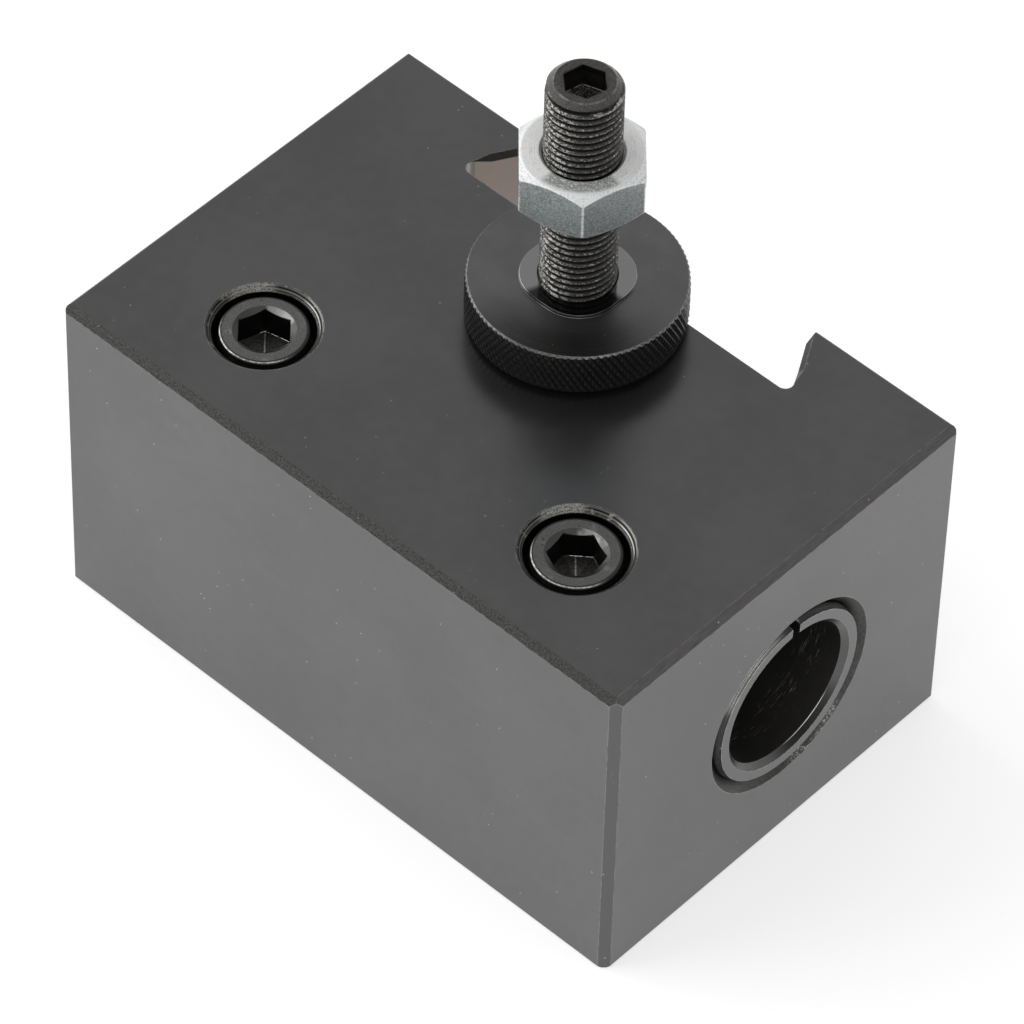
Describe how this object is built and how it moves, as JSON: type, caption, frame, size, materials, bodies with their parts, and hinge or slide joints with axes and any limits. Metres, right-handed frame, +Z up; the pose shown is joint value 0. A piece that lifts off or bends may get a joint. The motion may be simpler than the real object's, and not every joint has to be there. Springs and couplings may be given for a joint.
{
  "type": "quick change tool holder",
  "caption": "Dovetailed steel block that holds a round boring bar in a slit sleeve, clamped by cap screws, with a height stud, knurled nut and locknut on top.",
  "frame": {"origin": "centre of the block's underside", "axes": "+X along the bore, +Y towards the dovetail groove at the back, +Z up along the height stud"},
  "size_m": [0.1142, 0.0762, 0.1134],
  "materials": {
    "block_steel": "black oxide, satin",
    "sleeve_steel": "black oxide, polished face",
    "plug_steel": "black oxide, turned",
    "screw_steel": "black oxide, oiled",
    "stud_steel": "black oxide, oiled",
    "nut_steel": "black oxide, satin",
    "zinc": "clear zinc plated"
  },
  "bodies": {
    "holder": {"holder_body": "block_steel", "split_sleeve": "sleeve_steel", "upper_clamp_plug_left": "plug_steel", "upper_clamp_plug_right": "plug_steel", "height_stud": "stud_steel"},
    "left_screw": {"cap_screw_left": "screw_steel"},
    "right_screw": {"cap_screw_right": "screw_steel"},
    "left_plug": {"lower_clamp_plug_left": "plug_steel"},
    "right_plug": {"lower_clamp_plug_right": "plug_steel"},
    "height_nut": {"height_nut": "nut_steel"},
    "locknut": {"locknut": "zinc"}
  },
  "joints": [
    {"name": "left_screw_turn", "type": "hinge", "parent": "holder", "child": "left_screw", "pos_m": [-0.03235, -0.0198, 0.06225], "axis": [0, 0, 1], "range_deg": [0, 288]},
    {"name": "left_plug_drop", "type": "slide", "parent": "holder", "child": "left_plug", "axis": [0, 0, 1], "range_m": [-0.00127, 0]},
    {"name": "right_screw_turn", "type": "hinge", "parent": "holder", "child": "right_screw", "pos_m": [0.03235, -0.0198, 0.06225], "axis": [0, 0, 1], "range_deg": [0, 288]},
    {"name": "right_plug_drop", "type": "slide", "parent": "holder", "child": "right_plug", "axis": [0, 0, 1], "range_m": [-0.00127, 0]},
    {"name": "height_nut_travel", "type": "slide", "parent": "holder", "child": "height_nut", "axis": [0, 0, 1], "range_m": [0, 0.0087]},
    {"name": "locknut_travel", "type": "slide", "parent": "holder", "child": "locknut", "axis": [0, 0, 1], "range_m": [-0.0087, 0.0145]}
  ],
  "couplings": [
    {"joint": "left_screw_turn", "follows": "left_plug_drop", "rad_per_m": -3957.9},
    {"joint": "right_screw_turn", "follows": "right_plug_drop", "rad_per_m": -3957.9}
  ]
}
